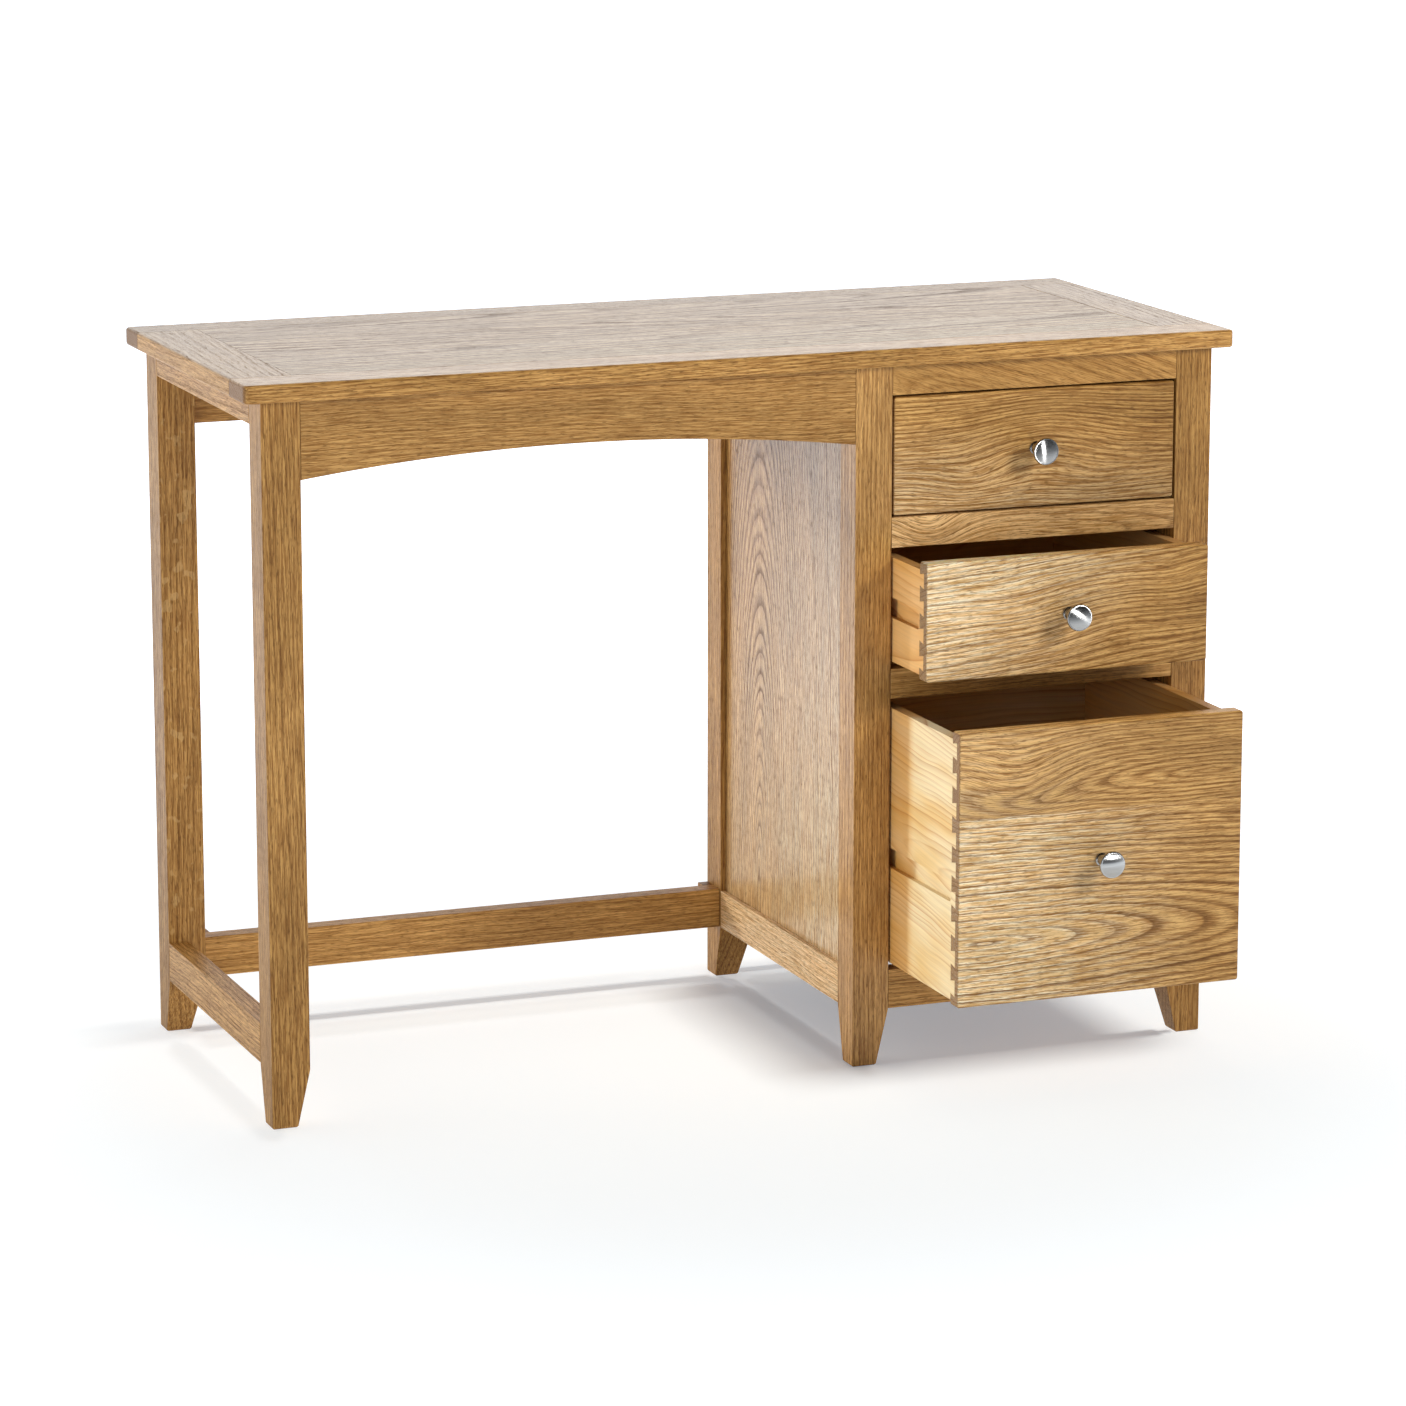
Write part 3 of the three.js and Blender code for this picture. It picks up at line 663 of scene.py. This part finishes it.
# ---------------------------------------------------------------- dressing the CAD nodes

def soften(obj, width):
    """Welds a faceted CAD body and eases its edges."""
    weld = obj.modifiers.new("weld", "WELD")
    weld.merge_threshold = 0.00001
    bevel = obj.modifiers.new("ease", "BEVEL")
    bevel.width = width
    bevel.segments = 2
    bevel.limit_method = "ANGLE"
    bevel.angle_limit = math.radians(40)
    bevel.use_clamp_overlap = True


def dress(node_name, material, ease=None):
    obj = frame["nodes"][node_name]
    obj.data.materials.clear()
    obj.data.materials.append(material)
    if ease:
        soften(obj, ease)


# Each piece's own figure, as changes to OAK_LOOK or PINE_LOOK. Places are in mm from the middle of the piece.
LOOKS = {
    "drawer_1_front": dict(
        pith=(-105, 30), tilt=0.03, spacing=4.6, figure=0.9, late=0.4, wander=5, ripple=1.2,
        swirls=[(12, 16, 78, 42, -17), (-75, -30, 48, 26, 10), (70, -42, 60, 26, 6)],
        fibre=1.2, streak=1.7, tone=1.05, painted_falloff=0.38, painted_sheen=(0.15, 0.0), painted_sheen_across=(0.3, -0.25)),
    "drawer_2_front": dict(
        pith=(-140, 60), tilt=-0.05, spacing=5.5, figure=0.7, late=0.6, wander=6, lean=0.08,
        swirls=[(-60, 18, 55, 26, 6), (55, -16, 62, 30, -8), (120, 30, 40, 22, 6)],
        fibre=1.2, streak=1.7, tone=1.2, painted_falloff=0.42, painted_sheen=(1.0, -0.3), painted_sheen_across=(-0.25, 0.25),
        relief=1.1, painted_top_highlight=0.8),
    "drawer_3_front": dict(
        pith=(-78, 26), tilt=0.13, spacing=6.5, figure=0.95, late=0.75, wander=6, ripple=1.4,
        fibre=1.3, streak=2.4, tone=1.1, painted_falloff=0.28, painted_sheen=(1.3, -0.2),
        gloss=0.15, relief=1.2, painted_top_highlight=0.7,
        boards=[(54, dict(
            pith=(84, 24), tilt=-0.12, spacing=4.6, figure=0.6, fibre=1.1, streak=1.3,
            swirls=[(-95, 90, 60, 40, 22)], tone=1.0, painted_sheen=(0.3, -0.15)))]),
    "drawer_rail_top": dict(
        pith=(-60, 20), tilt=0.3, spacing=9.0, figure=0.35, lean=-0.35, streak=0.65, tone=0.86),
    "drawer_rail_upper": dict(
        pith=(-10, 14), tilt=0.1, spacing=4.5, seed=12.0, swirls=[(-120, -4, 45, 30, 22)],
        tone=1.39, painted_falloff=0.36, painted_sheen=(0.2, 0.12)),
    "front_apron": dict(
        pith=(-120, 150), tilt=0.02, spacing=3.2, figure=0.5, streak=1.2, tone=0.79, painted_sheen=(0.04, 0.04)),
    "left_panel": dict(
        pith=(70, 52), tilt=0.17, spacing=4.4, figure=0.7, late=0.6, wander=14, ripple=1.5,
        streak=2.1, pores=0.75, tone=0.97, painted_falloff=0.4, painted_sheen=(0.5, -0.15), painted_sheen_across=(0.5, -0.2),
        gloss=(1.0, 0.5)),
    "left_bottom_rail": dict(tone=1.18, painted_sheen=(0.5, 0.5)),
    "top_centre_panel": dict(
        pith=(-60, 40), tilt=0.035, spacing=8.0, figure=0.7, late=0.5, wander=16, ripple=1.2,
        fibre=2.0, streak=1.5, pores=0.85, tone=0.87, painted_sheen=(-0.15, 0.25), painted_sheen_across=(0.5, -0.45),
        gloss=0.78, gloss_upward=True, painted_top_highlight=0.1,
        boards=[
            (-52, dict(pith=(70, 60), tilt=-0.04, tone=0.94)),
            (70, dict(pith=(160, 40), tilt=0.05, tone=0.9)),
        ]),
    "top_front_rail": dict(streak=1.2, pores=0.7, tone=0.93, gloss=1.0, gloss_upward=True, painted_top_highlight=0.5),
    "top_back_rail": dict(streak=1.4, pores=0.8, tone=0.88, gloss=0.8, gloss_upward=True),
    "top_left_end": dict(figure=0.3, streak=0.6, pores=0.4, tone=1.02, gloss=0.8, gloss_upward=True),
    "top_right_end": dict(gloss=0.9, gloss_upward=True),
    "end_front_leg": dict(streak=1.1, tone=0.85),
    "end_back_leg": dict(streak=1.1, tone=0.8, fleck=0.7),
    "post_front_left": dict(tone=0.98, gloss=0.5),
    "post_front_right": dict(tone=0.71),
    "post_back_left": dict(tone=0.75),
    "drawer_2_left_side": dict(tone=0.99, painted_warm_shade=0.65, edge=0.8),
    "drawer_3_left_side": dict(spacing=6.0, lean=0.08, tone=0.88, painted_warm_shade=0.05, painted_warm_shade_from=-68),
}
INSIDE_WARM_SHADE = dict(painted_warm_shade=0.8, tone=0.9)  # drawer boards that are only seen from inside, darker and orange: a painted warm shade
# Runners made dark: a painted shade in the narrow slot beside the post.
RUNNER_PAINTED_SHADE = dict(painted_warm_shade=1.0, tone=0.45)
for number in (1, 2, 3):
    LOOKS[f"drawer_{number}_right_side"] = LOOKS[f"drawer_{number}_back"] = INSIDE_WARM_SHADE
    LOOKS[f"runner_{number}_left"] = LOOKS[f"runner_{number}_right"] = RUNNER_PAINTED_SHADE
# The open drawer's back board is made brighter at its left end and falls off to the right: painted light,
# with a painted warm shade.
LOOKS["drawer_3_back"] = dict(painted_warm_shade=0.5, tone=1.2, painted_falloff=0.4)
BOARD = dict(gloss=0.0, figure=0.35, late=0.0, tone=0.8)  # the oak-faced drawer bottoms
BRUSHING = {"drawer_1_knob": 5, "drawer_2_knob": 56, "drawer_3_knob": 88}  # degrees

# How far each sort of edge is eased, in metres.
OAK_EASE = 0.8 * MM
PINE_EASE = 0.4 * MM
BOARD_EASE = 0.3 * MM


def nodes_named(*starts):
    return [obj for name, obj in frame["nodes"].items() if name.startswith(starts)]


knobs = []
slot_of = {row["node"]: row["material_slot"] for row in frame["record"]["subparts"]}
for node_name, slot in slot_of.items():
    look = LOOKS.get(node_name, {})
    if slot == "oak":
        dress(node_name, oak(node_name, **look), OAK_EASE)
    elif slot == "pine":
        dress(node_name, pine(node_name, **look), PINE_EASE)
    elif slot == "board":
        dress(node_name, oak(node_name, **BOARD), BOARD_EASE)
    elif slot == "knob":
        material = nickel(node_name + "_nickel", BRUSHING[node_name])
        dress(node_name, material)
        low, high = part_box(node_name)
        centre = ((low[0] + high[0]) / 2, high[1], (low[2] + high[2]) / 2)
        profile = knob_profile((high[0] - low[0]) / 2 / MM, (high[1] - low[1]) / MM)
        knob = turned(node_name + "_turned", centre, profile, material)
        knobs.append(knob)
        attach(knob, node_name[:8])
        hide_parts(node_name)
    else:
        dress(node_name, nickel(node_name + "_nickel", 0))

top_low, top_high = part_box("top_centre_panel")
top_front, top_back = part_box("top_front_rail")[0][1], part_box("top_back_rail")[1][1]
top_middle = Vector(((top_low[0] + top_high[0]) / 2, (top_front + top_back) / 2, top_high[2]))
make_camera(top_middle)
make_world()
floor = make_floor()
aim = top_middle + AIM_FROM_TOP
lights = {name: make_area_light(name, aim, *setting) for name, setting in LIGHTS.items()}


def keep_light(name, receivers, state, blockers=None):
    """Keeps a light on or off the receivers. Only the blockers, if there are any, cast shadows from it."""
    linking = lights[name].light_linking
    linking.receiver_collection = flagged(name + "_falls_on", receivers, state)
    if blockers:
        linking.blocker_collection = flagged(name + "_shadows", blockers, "INCLUDE")


drawer_left_sides = nodes_named("drawer_1_left", "drawer_2_left", "drawer_3_left")
overhead_blockers = nodes_named("drawer_1", "drawer_rail", "left_", "post_front_left", "back_")
behind_blockers = nodes_named("back_stretcher", "end_bottom", "left_bottom", "back_lower")
keep_light("key", [floor], "EXCLUDE")
keep_light("fill", [floor] + drawer_left_sides, "EXCLUDE")
keep_light("rim", nodes_named("post_", "left_", "drawer_"), "INCLUDE")
keep_light("bounce", drawer_left_sides, "INCLUDE")
keep_light("strip", knobs, "INCLUDE")
keep_light("overhead", [floor], "INCLUDE", overhead_blockers)
keep_light("behind", [floor], "INCLUDE", behind_blockers)

bpy.context.scene.view_settings.view_transform = "Standard"
